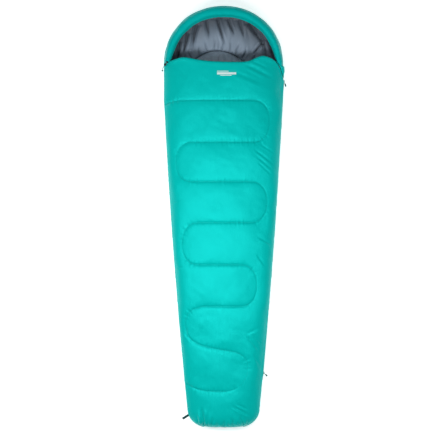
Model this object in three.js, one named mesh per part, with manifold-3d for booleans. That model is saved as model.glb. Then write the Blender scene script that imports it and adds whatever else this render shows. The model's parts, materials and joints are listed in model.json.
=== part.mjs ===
// Mummy sleeping bag lying on its back, zip closed. Millimetres, +Z up.
// X is the width, +Y points to the hood and the origin lies on the underside, below the bag's middle.
import * as THREE from 'three';
import { mergeVertices } from 'three/addons/utils/BufferGeometryUtils.js';
import Module from 'manifold-3d';

const wasm = await Module();
wasm.setup();

// ---- driving dimensions ----
const HOOD_Y = 1077; // head end of the hood
const FOOT_Y = -1072; // foot end
const NECK_Y = 780; // seam between body and hood
const CHEST_HALF = 306; // half width at the chest and the hood
const FOOT_HALF = 187; // half width where the foot corners start
const FOOT_CORNER = 95; // corner radius of the foot end in plan
const TAPER_Y = 598; // the sides start to taper here
const SIDE_BOW = 11; // the tapered sides bulge this far
const CHEST_HEIGHT = 175; // loft at the neck
const FOOT_HEIGHT = 142; // loft where the foot corners start
const SIDE_Z = 75; // height of the side seams and the zip
const UNDER_CORNER = 90; // width of the rounded lower edge
const HOOD_POWER = 2.12; // 2 is a round hood, more is squarer
const SECTION_EASE = 0.92; // 1 is an elliptical dome, less is squarer

// Distances inwards from the outer surface.
const GAP = 0.3;
const SHELL = [0, 1.2];
const INSULATION = [SHELL[1] + GAP, 27.5];
const LINING = [INSULATION[1] + GAP, 28.8];
const WALL_MIDDLE = LINING[1] / 2;

const FACE_HALF = 274; // half width of the face opening
const FACE_TOP_Y = 1020; // its top
const HEM_RADIUS = 10; // padded roll round the opening
const CHEST_EDGE_Y = 803; // the front's top edge waves about this line
const CHEST_WAVE = 14;
const CHEST_WAVE_HALF = 202; // from the middle to each hump
const CHEST_LIP_HALF = 258; // half width of the lip past the neck seam

const FOLD_TOP = new THREE.Vector2(-200, 795); // the front folds over along this line
const ZIP_TOP = new THREE.Vector3(304, 695, SIDE_Z);
const ZIP_END = new THREE.Vector3(202, -797, SIDE_Z);
const ZIP_SLOT = 12; // half height of the slot that the zip fills
const TAPE_THICK = 1;
const COIL = [0.8, 3.2]; // a coil's near and far side, from the zip's centre line
const COIL_HEIGHT = [0.3, 2.4];
const CORD_RADIUS = 1.5;
const ZIP_LENGTH = ZIP_TOP.distanceTo(ZIP_END);

const bag = new THREE.Group();

// ---- materials ----
function finish(color, roughness, metalness = 0) {
  return new THREE.MeshStandardMaterial({ color, roughness, metalness });
}
const tealShell = finish(0x00c1ba, 0.6);
const whiteFill = finish(0xf2f2ee, 1);
const greyLining = finish(0x505c68, 0.75);
const tealTape = finish(0x12a49e, 0.8);
const darkWebbing = finish(0x263436, 0.85);
const darkMetal = finish(0x2a2d30, 0.4, 0.8);
const blackPlastic = finish(0x1e2123, 0.5);
const springSteel = finish(0xb8bcc0, 0.3, 1);
const paleCord = finish(0xc9d0d0, 0.8);
const whitePrint = finish(0xf4f6f5, 0.7);

// ---- solids ----
function solidOf(geometry) {
  const bare = geometry.index ? geometry.toNonIndexed() : geometry.clone();
  bare.deleteAttribute('normal');
  bare.deleteAttribute('uv');
  const merged = mergeVertices(bare, 1e-4);
  const mesh = new wasm.Mesh({
    numProp: 3,
    vertProperties: new Float32Array(merged.attributes.position.array),
    triVerts: new Uint32Array(merged.index.array),
  });
  return new wasm.Manifold(mesh);
}

function geometryOf(solid) {
  const mesh = solid.getMesh();
  const geometry = new THREE.BufferGeometry();
  geometry.setAttribute('position', new THREE.BufferAttribute(new Float32Array(mesh.vertProperties), 3));
  geometry.setIndex(new THREE.BufferAttribute(new Uint32Array(mesh.triVerts), 1));
  return geometry;
}

function add(parent, name, shape, material) {
  const geometry = shape.isBufferGeometry ? shape : geometryOf(shape);
  const mesh = new THREE.Mesh(geometry, material);
  mesh.name = name;
  parent.add(mesh);
  return mesh;
}

// A box between two corners.
function block(low, high) {
  const size = high.map((v, i) => v - low[i]);
  const box = new THREE.BoxGeometry(...size);
  box.translate(...high.map((v, i) => (v + low[i]) / 2));
  return box;
}

// The largest of a solid's separate bodies, without the crumbs that cutting leaves.
function largest(solid) {
  return solid.decompose().sort((a, b) => b.volume() - a.volume())[0];
}

const solidBlock = (low, high) => solidOf(block(low, high));

// An outline in plan, made into a prism between two heights.
function prism(points, low, high) {
  const shape = new THREE.Shape(points);
  const geometry = new THREE.ExtrudeGeometry(shape, { depth: high - low, bevelEnabled: false });
  geometry.translate(0, 0, low);
  return solidOf(geometry);
}

// A round section swept along points; bore leaves a channel open at both ends.
function roll(points, radius, steps, sides, bore = 0) {
  const shape = new THREE.Shape();
  shape.absarc(0, 0, radius, 0, 2 * Math.PI);
  if (bore) {
    const hole = new THREE.Path();
    hole.absarc(0, 0, bore, 0, 2 * Math.PI, true);
    shape.holes.push(hole);
  }
  const extrudePath = new THREE.CatmullRomCurve3(points);
  return new THREE.ExtrudeGeometry(shape, { steps, extrudePath, curveSegments: sides, bevelEnabled: false });
}

// Closed rings of points, joined into one solid with flat ends.
function loft(rings) {
  const count = rings[0].length;
  const points = rings.flat();
  const faces = [];
  for (let r = 0; r + 1 < rings.length; r++) {
    for (let i = 0; i < count; i++) {
      const next = (i + 1) % count;
      const [a, b] = [r * count + i, r * count + next];
      faces.push(a, b, b + count, a, b + count, a + count);
    }
  }
  for (const [start, forward] of [[0, false], [(rings.length - 1) * count, true]]) {
    const middle = new THREE.Vector3();
    for (let i = 0; i < count; i++) middle.addScaledVector(points[start + i], 1 / count);
    points.push(middle);
    for (let i = 0; i < count; i++) {
      const [a, b] = [start + i, start + ((i + 1) % count)];
      faces.push(...(forward ? [a, b, points.length - 1] : [b, a, points.length - 1]));
    }
  }
  const geometry = new THREE.BufferGeometry().setFromPoints(points);
  geometry.setIndex(faces);
  return solidOf(geometry);
}

// ---- the bag's form ----
const mix = (a, b, t) => a + (b - a) * t;
const arch = (value, power) => Math.abs(value) ** power;
const ease = 2 / HOOD_POWER;

function heightAt(y) {
  return mix(CHEST_HEIGHT, FOOT_HEIGHT, (NECK_Y - y) / (NECK_Y - FOOT_Y - FOOT_CORNER));
}

function halfWidthAt(y) {
  const t = Math.max(0, (TAPER_Y - y) / (TAPER_Y - FOOT_Y - FOOT_CORNER));
  return mix(CHEST_HALF, FOOT_HALF, t) + 4 * SIDE_BOW * t * (1 - t);
}

// One cross-section at an inward offset: where it lies, its half width, its rise above the side
// seam and its drop below it.
function bodyRing(y, offset) {
  return { y, half: halfWidthAt(y) - offset, rise: heightAt(y) - SIDE_Z - offset, drop: SIDE_Z - offset };
}

const HOOD_CENTRE_Y = HOOD_Y - CHEST_HALF;

function hoodRing(angle, offset) {
  const reach = CHEST_HALF - offset;
  const closing = 1 - Math.cos(angle);
  return {
    y: HOOD_CENTRE_Y + reach * arch(Math.sin(angle), ease),
    half: reach * arch(Math.cos(angle), ease),
    rise: (CHEST_HEIGHT - SIDE_Z - offset) * (1 - closing ** 2.5),
    drop: (SIDE_Z - offset) * (1 - closing ** 4),
  };
}

function footRing(angle, offset) {
  const corner = FOOT_CORNER - offset;
  const closing = 1 - Math.cos(angle);
  return {
    y: FOOT_Y + FOOT_CORNER - corner * Math.sin(angle),
    half: FOOT_HALF - FOOT_CORNER + corner * Math.cos(angle),
    rise: (FOOT_HEIGHT - SIDE_Z - offset) * (1 - 0.55 * closing ** 2),
    drop: (SIDE_Z - offset) * (1 - 0.5 * closing ** 3),
  };
}

// The outline of a cross-section: a dome above the side seams, and a flat base with rounded edges.
function outline({ y, half, rise, drop }, offset) {
  const points = [];
  const domeSteps = 12;
  for (let i = 0; i < domeSteps; i++) {
    const angle = (Math.PI * i) / domeSteps;
    const x = half * Math.sign(Math.cos(angle)) * arch(Math.cos(angle), SECTION_EASE);
    points.push(new THREE.Vector3(x, y, SIDE_Z + rise * arch(Math.sin(angle), SECTION_EASE)));
  }
  const corner = Math.min(UNDER_CORNER - offset, 0.7 * half);
  const cornerSteps = 3;
  for (const side of [-1, 1]) {
    for (let i = 0; i <= cornerSteps; i++) {
      const angle = (Math.PI / 2) * (side < 0 ? i : cornerSteps - i) / cornerSteps;
      if (side > 0 && i === cornerSteps) continue;
      const x = side * (half - corner + corner * Math.cos(angle));
      points.push(new THREE.Vector3(x, y, SIDE_Z - drop * Math.sin(angle)));
    }
  }
  return points;
}

// The whole bag as one solid, its surface moved inwards by the offset.
function form(offset) {
  const rings = [];
  for (const degrees of [85, 72, 58, 44, 30, 15]) rings.push(hoodRing((degrees * Math.PI) / 180, offset));
  for (const y of [HOOD_CENTRE_Y, 600, 375, 150, -75, -300, -525, -750]) rings.push(bodyRing(y, offset));
  for (const degrees of [0, 30, 60, 90]) rings.push(footRing((degrees * Math.PI) / 180, offset));
  return loft(rings.map((ring) => outline(ring, offset)));
}

// Height of the dome over a point in plan.
function domeAt(x, y, offset) {
  let ring = bodyRing(y, offset);
  if (y > HOOD_CENTRE_Y) {
    const sine = Math.min(0.999, ((y - HOOD_CENTRE_Y) / (CHEST_HALF - offset)) ** (1 / ease));
    ring = hoodRing(Math.asin(sine), offset);
  }
  const cosine = Math.min(1, arch(x / ring.half, 1 / SECTION_EASE));
  return SIDE_Z + ring.rise * arch(Math.sqrt(1 - cosine * cosine), SECTION_EASE);
}

// ---- cutting regions ----
const FAR = 2000;
const HALF_GAP = GAP / 2;
const upper = solidBlock([-FAR, -FAR, SIDE_Z + HALF_GAP], [FAR, FAR, FAR]);
const lower = solidBlock([-FAR, -FAR, -FAR], [FAR, FAR, SIDE_Z - HALF_GAP]);
const footJoin = FOOT_Y + FOOT_CORNER;
const footRegion = solidBlock([-FAR, -FAR, -FAR], [FAR, footJoin - HALF_GAP, FAR]);
const backRegion = solidBlock([-FAR, footJoin + HALF_GAP, -FAR], [FAR, NECK_Y - HALF_GAP, FAR]).intersect(lower);

const chestEdge = (x) => CHEST_EDGE_Y - CHEST_WAVE * Math.cos((Math.PI * x) / CHEST_WAVE_HALF);

function frontOutline() {
  const neck = NECK_Y - HALF_GAP;
  const foot = footJoin + HALF_GAP;
  const points = [[-FAR, foot], [FAR, foot], [FAR, neck], [CHEST_LIP_HALF, neck]];
  const steps = 12;
  for (let i = 0; i <= steps; i++) {
    const x = CHEST_LIP_HALF * (1 - (2 * i) / steps);
    points.push([x, chestEdge(x)]);
  }
  points.push([-CHEST_LIP_HALF, neck], [-FAR, neck]);
  return points.map(([x, y]) => new THREE.Vector2(x, y));
}
const frontRegion = prism(frontOutline(), SIDE_Z + HALF_GAP, FAR);

// The face opening: half an oval in plan, from the neck to its top.
function faceOutline(margin, steps) {
  const points = [];
  for (let i = 0; i <= steps; i++) {
    const angle = (Math.PI * i) / steps;
    const x = (FACE_HALF + margin) * Math.cos(angle);
    points.push(new THREE.Vector2(x, NECK_Y + (FACE_TOP_Y + margin - NECK_Y) * Math.sin(angle)));
  }
  return points;
}
const facePrism = prism([...faceOutline(0, 20), new THREE.Vector2(-FACE_HALF, NECK_Y - 5),
  new THREE.Vector2(FACE_HALF, NECK_Y - 5)], SIDE_Z, FAR);
const hoodRegion = solidBlock([-FAR, NECK_Y + HALF_GAP, -FAR], [FAR, FAR, FAR]).subtract(facePrism);

// The zip's own frame: local -Y runs down the zip, +X points out of the bag.
const zipTurn = Math.atan2(ZIP_END.x - ZIP_TOP.x, ZIP_TOP.y - ZIP_END.y);
const zipFrame = new THREE.Matrix4().makeRotationZ(zipTurn).setPosition(ZIP_TOP);
const slotBlock = block([-60, -ZIP_LENGTH - 16, -ZIP_SLOT], [60, NECK_Y - ZIP_TOP.y + 3, ZIP_SLOT]);
const zipSlot = solidOf(slotBlock.applyMatrix4(zipFrame));

// Everything on the zip's side of the fold line belongs to the part that folds open.
function foldSide(toZip) {
  const along = new THREE.Vector2(ZIP_END.x - FOLD_TOP.x, ZIP_END.y - FOLD_TOP.y).normalize();
  const across = new THREE.Vector2(-along.y, along.x).multiplyScalar(toZip ? 1 : -1);
  const near = FOLD_TOP.clone().addScaledVector(across, GAP);
  const corners = [[-FAR, 0], [FAR, 0], [FAR, FAR], [-FAR, FAR]].map(([a, b]) => {
    return near.clone().addScaledVector(along, a).addScaledVector(across, b);
  });
  return prism(toZip ? corners : corners.reverse(), -FAR, FAR);
}
const flapSide = foldSide(true);
const fixedSide = foldSide(false);

// ---- rolled hems ----
function hoodHemPath() {
  return faceOutline(4, 20).filter(({ y }) => y > NECK_Y + 8).map(({ x, y }) => {
    return new THREE.Vector3(x, y, domeAt(x, y, WALL_MIDDLE));
  });
}

function chestHemPath(from, to, steps) {
  const points = [];
  for (let i = 0; i <= steps; i++) {
    const x = mix(from, to, i / steps);
    const y = chestEdge(x) - 7;
    points.push(new THREE.Vector3(x, y, domeAt(x, y, WALL_MIDDLE)));
  }
  return points;
}

const hoodPath = hoodHemPath();
const CORD_CHANNEL = CORD_RADIUS + 1;
const HEM_SIDES = 4;
const HEM_STEPS = 20;
const hemRoom = solidOf(roll(hoodPath, HEM_RADIUS + 0.6, HEM_STEPS, HEM_SIDES));
const CHEST_HEM_END = 236;
const FOLD_MARGIN = 14;
const chestRoomPath = chestHemPath(-CHEST_HEM_END - 3, CHEST_HEM_END + 3, 12);
const chestRoom = solidOf(roll(chestRoomPath, HEM_RADIUS + 0.8, 18, HEM_SIDES));

// ---- sewn layers ----
function addLayers() {
  const layers = [['shell', SHELL, tealShell], ['insulation', INSULATION, whiteFill], ['lining', LINING, greyLining]];
  for (const [layer, [from, to], material] of layers) {
    const sheet = form(from).subtract(form(to)).subtract(hemRoom).subtract(chestRoom);
    const body = sheet.subtract(zipSlot);
    const front = body.intersect(frontRegion);
    add(bag, `back_${layer}`, largest(body.intersect(backRegion)), material);
    add(bag, `front_${layer}_fixed`, largest(front.intersect(fixedSide)), material);
    add(bag, `front_${layer}_flap`, largest(front.intersect(flapSide)), material);
    add(bag, `foot_${layer}`, largest(sheet.intersect(footRegion)), material);
    add(bag, `hood_${layer}`, largest(sheet.intersect(hoodRegion)), material);
  }
}

// ---- hood and chest edges ----
function addHems() {
  add(bag, 'hood_hem', roll(hoodPath, HEM_RADIUS, HEM_STEPS, HEM_SIDES, CORD_CHANNEL), tealShell);
  add(bag, 'drawcord_in_hem', roll(hoodPath, CORD_RADIUS, HEM_STEPS, 4), paleCord);
  const radius = HEM_RADIUS - 0.6;
  const foldX = FOLD_TOP.x;
  const fixedPath = chestHemPath(-CHEST_HEM_END, foldX - FOLD_MARGIN, 2);
  add(bag, 'chest_hem_fixed', roll(fixedPath, radius, 2, HEM_SIDES), tealShell);
  const flapPath = chestHemPath(foldX + FOLD_MARGIN, CHEST_HEM_END, 12);
  add(bag, 'chest_hem_flap', roll(flapPath, radius, 14, HEM_SIDES), tealShell);
}

// A blank sewn-on patch at the chest.
function addPatch() {
  const sheet = form(-GAP - 0.6).subtract(form(-GAP));
  add(bag, 'chest_patch', sheet.intersect(solidBlock([-34, 713, SIDE_Z], [66, 746, FAR])), whitePrint);
}

// ---- zip ----
function zipGroup() {
  const group = new THREE.Group();
  group.position.copy(ZIP_TOP);
  group.rotation.z = zipTurn;
  bag.add(group);
  return group;
}

const SLIDER_HALF = 7; // half length of a slider
const FLAP_TAPE_START = -16; // the flap's half of the zip starts clear of the parked upper slider
const FLAP_TAPE_END = -ZIP_LENGTH + 18; // and ends clear of the parked lower one

function addZipTapes(zip) {
  const tapeEdge = COIL[0] + 0.8;
  const outerEdge = ZIP_SLOT - 0.4;
  const bagEnds = [-ZIP_LENGTH - 14, 20];
  const flapEnds = [FLAP_TAPE_END, FLAP_TAPE_START];
  for (const [side, way, [from, to]] of [['bag_side', -1, bagEnds], ['flap_side', 1, flapEnds]]) {
    const tapeZ = [way * tapeEdge, way * outerEdge].sort((a, b) => a - b);
    add(zip, `zip_tape_${side}`, block([-TAPE_THICK, from, tapeZ[0]], [0, to, tapeZ[1]]), tealTape);
    const coilZ = [way * COIL[0], way * COIL[1]].sort((a, b) => a - b);
    const coilTo = way < 0 ? SLIDER_HALF + 2 : to - 4;
    const coilFrom = way < 0 ? -ZIP_LENGTH - SLIDER_HALF - 3 : from;
    add(zip, `zip_coil_${side}`, block([COIL_HEIGHT[0], coilFrom, coilZ[0]], [COIL_HEIGHT[1], coilTo, coilZ[1]]),
      tealTape);
    const stop = block([COIL_HEIGHT[0], coilTo + GAP, coilZ[0] - 0.3], [COIL_HEIGHT[1] + 0.6, coilTo + 3.3, coilZ[1] + 0.3]);
    add(zip, `zip_top_stop_${side}`, stop, darkMetal);
  }
  const stopTop = -ZIP_LENGTH - SLIDER_HALF - 3 - GAP;
  add(zip, 'zip_bottom_stop', block([COIL_HEIGHT[0], stopTop - 4, -4], [COIL_HEIGHT[1] + 0.8, stopTop, 4]), darkMetal);
}

const PULL_AXIS = 6.2; // height of a pull's cross bar over the tape
const PLATE_HALF = 6;

// A slider: two plates that hold the tapes, a thin post between the coils, and an arch for the pull.
function sliderShape() {
  const inner = block([-TAPE_THICK - 2.2, -SLIDER_HALF, -PLATE_HALF], [-TAPE_THICK - 0.4, SLIDER_HALF, PLATE_HALF]);
  const outer = block([2.8, -SLIDER_HALF, -PLATE_HALF], [4.3, SLIDER_HALF, PLATE_HALF]);
  const post = block([-TAPE_THICK - 0.6, -2.5, -0.5], [3, 2.5, 0.5]);
  let slider = solidOf(inner).add(solidOf(outer)).add(solidOf(post));
  const archTop = block([7.8, -5.2, -1], [9, 5.2, 1]);
  slider = slider.add(solidOf(archTop));
  for (const end of [-5.2, 3.8]) slider = slider.add(solidBlock([4.1, end, -1], [8, end + 1.4, 1]));
  return slider;
}

// A pull: its cross bar lies under the slider's arch and its two arms pass either side of it.
function pullShape(length) {
  const bar = new THREE.CylinderGeometry(0.8, 0.8, 7.4, 10).rotateX(Math.PI / 2);
  let pull = solidOf(bar);
  for (const z of [-3.7, 2.1]) pull = pull.add(solidBlock([-0.8, -9.5, z], [0.8, 0, z + 1.6]));
  return pull.add(solidBlock([-0.8, -length, -3.7], [0.8, -8.5, 3.7]));
}

function addSlider(zip, name, along, swing, length) {
  const place = new THREE.Group();
  place.position.y = -along;
  zip.add(place);
  add(place, `${name}_slider`, sliderShape(), darkMetal);
  const pivot = new THREE.Group();
  pivot.position.x = PULL_AXIS;
  pivot.rotation.z = (swing * Math.PI) / 180;
  place.add(pivot);
  add(pivot, `${name}_pull_tab`, pullShape(length), darkMetal);
}

// The padded tube behind the zip that keeps draughts out.
function addDraftTube(zip) {
  const points = [18, -ZIP_LENGTH / 2, -ZIP_LENGTH + 10].map((y) => new THREE.Vector3(-38, y, 0));
  add(zip, 'draft_tube', roll(points, 8, 6, 4), greyLining);
}

// ---- drawcord, its eyelet and lock ----
const LOCK = new THREE.Vector3(-297, 775, 123); // where the cord crosses the lock
const LOCK_RADIUS = 6;
const PLUNGER_RADIUS = 4.2;
const cordRoute = [
  [-286.5, 789.5, 118.5], [-288.4, 786.8, 122], [-291, 783.2, 123], [-294, 779.1, 123], [-297, 775, 123],
  [-300, 770.9, 123], [-303, 766.8, 123], [-305.8, 763, 122.6], [-308.4, 759.4, 120], [-310.4, 756.4, 114.5],
  [-311.6, 754, 107.5], [-312.3, 752, 100], [-312.8, 750.3, 92], [-313, 749, 84],
].map((p) => new THREE.Vector3(...p));

function addDrawcord() {
  add(bag, 'drawcord_end', roll(cordRoute, CORD_RADIUS, 26, 4), paleCord);
  const end = cordRoute.at(-1);
  const past = end.clone().sub(cordRoute.at(-2)).normalize();
  const bead = add(bag, 'cord_end_bead', new THREE.SphereGeometry(4.5, 10, 8), blackPlastic);
  bead.position.copy(end).addScaledVector(past, 4.5 + GAP);
  const ringProfile = [[2.2, -0.8], [5, -0.8], [5, 0.8], [2.2, 0.8], [2.2, -0.8]].map((p) => new THREE.Vector2(...p));
  const eyelet = add(bag, 'hem_eyelet', new THREE.LatheGeometry(ringProfile, 12), darkMetal);
  const leaving = cordRoute[1].clone().sub(cordRoute[0]).normalize();
  eyelet.position.copy(cordRoute[0]).addScaledVector(leaving, 1.6);
  eyelet.quaternion.setFromUnitVectors(new THREE.Vector3(0, 1, 0), leaving);
}

const upright = (geometry) => geometry.rotateX(Math.PI / 2);

// Barrel, button and spring of the cord lock. The cord crosses both through one slot.
function addCordLock() {
  const group = new THREE.Group();
  group.position.copy(LOCK);
  group.rotation.z = Math.atan2(LOCK.y - cordRoute[2].y, LOCK.x - cordRoute[2].x);
  bag.add(group);
  const barrel = upright(new THREE.CylinderGeometry(LOCK_RADIUS, LOCK_RADIUS, 18, 16)).translate(0, 0, -2);
  const boreRadius = PLUNGER_RADIUS + 0.4;
  const bore = upright(new THREE.CylinderGeometry(boreRadius, boreRadius, 18, 16)).translate(0, 0, -0.5);
  const through = solidBlock([-10, -2, -2], [10, 2, 2]);
  add(group, 'cord_lock_barrel', solidOf(barrel).subtract(solidOf(bore)).subtract(through), blackPlastic);
  const stem = upright(new THREE.CylinderGeometry(PLUNGER_RADIUS, PLUNGER_RADIUS, 15, 16)).translate(0, 0, 4.5);
  const slot = solidBlock([-10, -2, -1.8], [10, 2, 5.8]);
  add(group, 'cord_lock_button', solidOf(stem).subtract(slot), blackPlastic);
  const turns = 3.5;
  const steps = 28;
  const wire = [];
  for (let i = 0; i <= steps; i++) {
    const angle = (i / steps) * turns * 2 * Math.PI;
    wire.push(new THREE.Vector3(2.6 * Math.cos(angle), 2.6 * Math.sin(angle), mix(-8.8, -3.7, i / steps)));
  }
  add(group, 'cord_lock_spring', roll(wire, 0.3, steps, 2), springSteel);
}

// ---- webbing loop at the foot ----
const LOOP_START = new THREE.Vector3(-180.5, -1014.5, 68);
const LOOP_TURN = Math.atan2(-21, -34);
const LOOP_REACH = 30;

function addHangLoop() {
  const outer = new THREE.Shape();
  outer.moveTo(0, -1.3).lineTo(9, -4.2).lineTo(LOOP_REACH, -4.2);
  outer.absarc(LOOP_REACH, 0, 4.2, -Math.PI / 2, Math.PI / 2);
  outer.lineTo(9, 4.2).lineTo(0, 1.3).closePath();
  const gap = new THREE.Path();
  gap.moveTo(3.5, -0.6).lineTo(3.5, 0.6).lineTo(9.4, 3).lineTo(LOOP_REACH, 3);
  gap.absarc(LOOP_REACH, 0, 3, Math.PI / 2, -Math.PI / 2, true);
  gap.lineTo(9.4, -3).closePath();
  outer.holes.push(gap);
  const strap = new THREE.ExtrudeGeometry(outer, { depth: 12, curveSegments: 5, bevelEnabled: false });
  strap.translate(0, 0, -6).rotateX(Math.PI / 2);
  const loop = add(bag, 'foot_hang_loop', strap, darkWebbing);
  loop.position.copy(LOOP_START);
  loop.rotation.z = LOOP_TURN;
}

addLayers();
addHems();
addPatch();
const zip = zipGroup();
addZipTapes(zip);
addSlider(zip, 'upper', 0, 20, 27);
addSlider(zip, 'lower', ZIP_LENGTH, 42, 20);
addDraftTube(zip);
addDrawcord();
addCordLock();
addHangLoop();

export default bag;
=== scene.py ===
"""Mummy sleeping bag: quilted soft pieces, zip, drawcord and studio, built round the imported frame."""
import json
import math

import bmesh
import bpy
import numpy as np
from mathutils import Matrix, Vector, kdtree
from mathutils.bvhtree import BVHTree


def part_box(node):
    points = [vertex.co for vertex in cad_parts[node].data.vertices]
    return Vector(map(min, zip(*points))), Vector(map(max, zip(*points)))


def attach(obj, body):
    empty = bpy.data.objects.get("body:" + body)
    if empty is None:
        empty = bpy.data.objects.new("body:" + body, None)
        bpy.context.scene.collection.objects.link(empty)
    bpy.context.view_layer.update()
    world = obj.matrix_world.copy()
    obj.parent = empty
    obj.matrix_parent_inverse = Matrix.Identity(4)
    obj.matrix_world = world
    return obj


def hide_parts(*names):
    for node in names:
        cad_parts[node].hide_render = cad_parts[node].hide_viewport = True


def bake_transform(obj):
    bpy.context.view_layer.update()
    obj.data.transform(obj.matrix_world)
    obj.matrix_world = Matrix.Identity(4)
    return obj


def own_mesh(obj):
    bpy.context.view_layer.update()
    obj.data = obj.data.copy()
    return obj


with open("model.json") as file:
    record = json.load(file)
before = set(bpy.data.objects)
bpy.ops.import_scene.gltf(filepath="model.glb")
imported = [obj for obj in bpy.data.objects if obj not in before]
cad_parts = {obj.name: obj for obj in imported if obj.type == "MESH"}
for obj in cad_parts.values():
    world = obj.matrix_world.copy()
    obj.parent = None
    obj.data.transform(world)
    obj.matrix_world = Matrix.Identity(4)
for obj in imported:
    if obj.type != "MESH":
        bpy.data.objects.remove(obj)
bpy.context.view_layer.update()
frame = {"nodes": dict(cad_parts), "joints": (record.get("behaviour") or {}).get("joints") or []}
MM = 0.001

# ---- the bag's form, in millimetres ----
HOOD_Y, FOOT_Y, NECK_Y = 1077.0, -1072.0, 780.0
CHEST_HALF, FOOT_HALF, FOOT_CORNER = 306.0, 187.0, 95.0
TAPER_Y, SIDE_BOW = 598.0, 11.0  # the sides draw in from here down, bowed outwards a little
CHEST_HEIGHT, FOOT_HEIGHT, SIDE_Z = 175.0, 142.0, 75.0  # SIDE_Z is the height of the side seams
UNDER_CORNER = 90.0  # radius of the section's lower corners
HOOD_EASE, SECTION_EASE = 2 / 2.12, 0.92  # exponents that make a circle a little squarer
FOOT_JOIN = FOOT_Y + FOOT_CORNER
HOOD_CENTRE_Y = HOOD_Y - CHEST_HALF
WALL = 27.0  # thickness of a quilted wall
ZIP_TOP, ZIP_END = np.array([304.0, 695.0]), np.array([202.0, -797.0])
SEAM_INSET, SEAM_GAP = 6, 0.8  # the side seam inside the widest line, and half the gap between its borders
ZIP_GAP, ZIP_OUTSIDE = 5, 1.2  # half the gap over the zip, and how far outside the zip the borders lie
CHEST_EDGE_Y, BACK_EDGE_Y = 803.0, 774.0  # nominal ends of the front and of the back's sides
FRONT_LIFT_Y, BACK_LIFT_Y = 560, 640  # from here up the rows bend towards the shape of the end
SHOULDER_Y, SHOULDER_RUN = 694, 26  # where the back starts to reach over the shoulder, above the zip
ZIP_FADE_Y, ZIP_FADE_RUN = -830, 30  # where the seam leaves the side line for the zip
LOCK_X, LOCK_Y = -297.0, 775.0  # the cord lock's axis


# ---- small maths ----
def mix(a, b, t):
    return a + (b - a) * t


def smooth(t):
    t = np.clip(t, 0, 1)
    return t * t * (3 - 2 * t)


def power(v, p):
    return np.sign(v) * np.abs(v) ** p


def bell(v, width):
    return np.exp(-((v / width) ** 2))


def full_turn(count):
    """Angles round a circle in even steps."""
    return np.linspace(0, 2 * np.pi, count, endpoint=False)


def unit(v):
    return v / np.maximum(np.linalg.norm(v, axis=-1, keepdims=True), 1e-9)


def waves(seed, count, shortest, longest):
    """A smooth random field over the plane, from -1 to 1 or so: a sum of plane waves."""
    r = np.random.default_rng(seed)
    length = np.exp(r.uniform(np.log(shortest), np.log(longest), count))
    angle, phase = r.uniform(0, 2 * np.pi, (2, count))

    def field(x, y):
        total = 0
        for w, a, p in zip(length, angle, phase):
            total = total + np.sin((x * np.cos(a) + y * np.sin(a)) * 2 * np.pi / w + p)
        return total / math.sqrt(count)

    return field


def height_at(y):
    return mix(CHEST_HEIGHT, FOOT_HEIGHT, (NECK_Y - y) / (NECK_Y - FOOT_JOIN))


def half_at(y):
    t = np.maximum(0, (TAPER_Y - y) / (TAPER_Y - FOOT_JOIN))
    return mix(CHEST_HALF, FOOT_HALF, t) + 4 * SIDE_BOW * t * (1 - t)


def zip_x(y):
    return mix(ZIP_TOP[0], ZIP_END[0], (ZIP_TOP[1] - y) / (ZIP_TOP[1] - ZIP_END[1]))


def shoulder_share(y):
    """0 along the zip, 1 above it, where the back reaches over the shoulder."""
    return smooth((y - SHOULDER_Y) / SHOULDER_RUN)


# ---- meshes from grids and rings ----
def grid_index(rows, cols, closed=False):
    """Vertex numbers of a grid; closed repeats the first column after the last."""
    index = np.arange(rows * cols).reshape(rows, cols)
    return np.concatenate([index, index[:, :1]], axis=1) if closed else index


def grid_faces(index):
    a, b = index[:-1, :-1].ravel(), index[:-1, 1:].ravel()
    c, d = index[1:, 1:].ravel(), index[1:, :-1].ravel()
    return np.stack([a, d, c, b], axis=1)


def add_object(name, data):
    obj = bpy.data.objects.new(name, data)
    bpy.context.collection.objects.link(obj)
    return obj


def make_object(name, points, faces, materials, slots=None, uv=None, shade=None, closed=True):
    """points in millimetres. uv holds a pair for each vertex, in metres along the cloth. shade is painted
    shade: how dark the cloth is painted at each vertex, from 0 to 1. closed turns every face outwards."""
    mesh = bpy.data.meshes.new(name)
    mesh.from_pydata((np.asarray(points) * MM).tolist(), [], [list(map(int, f)) for f in faces])
    for m in materials:
        mesh.materials.append(m)
    if slots is not None:
        mesh.polygons.foreach_set("material_index", np.asarray(slots, np.int32))
    if uv is not None:
        loops = np.empty(len(mesh.loops), np.int32)
        mesh.loops.foreach_get("vertex_index", loops)
        layer = mesh.uv_layers.new(name="cloth")
        layer.data.foreach_set("uv", np.asarray(uv, np.float32).reshape(-1, 2)[loops].ravel())
    # painted shade, kept on the mesh for the cloth materials to read
    if shade is not None:
        layer = mesh.attributes.new("shade", "FLOAT", "POINT")
        layer.data.foreach_set("value", np.asarray(shade, np.float32).ravel())
    mesh.polygons.foreach_set("use_smooth", np.ones(len(mesh.polygons), bool))
    if closed:
        turned = bmesh.new()
        turned.from_mesh(mesh)
        bmesh.ops.recalc_face_normals(turned, faces=turned.faces)
        turned.to_mesh(mesh)
        turned.free()
    mesh.update()
    return add_object(name, mesh)


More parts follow.
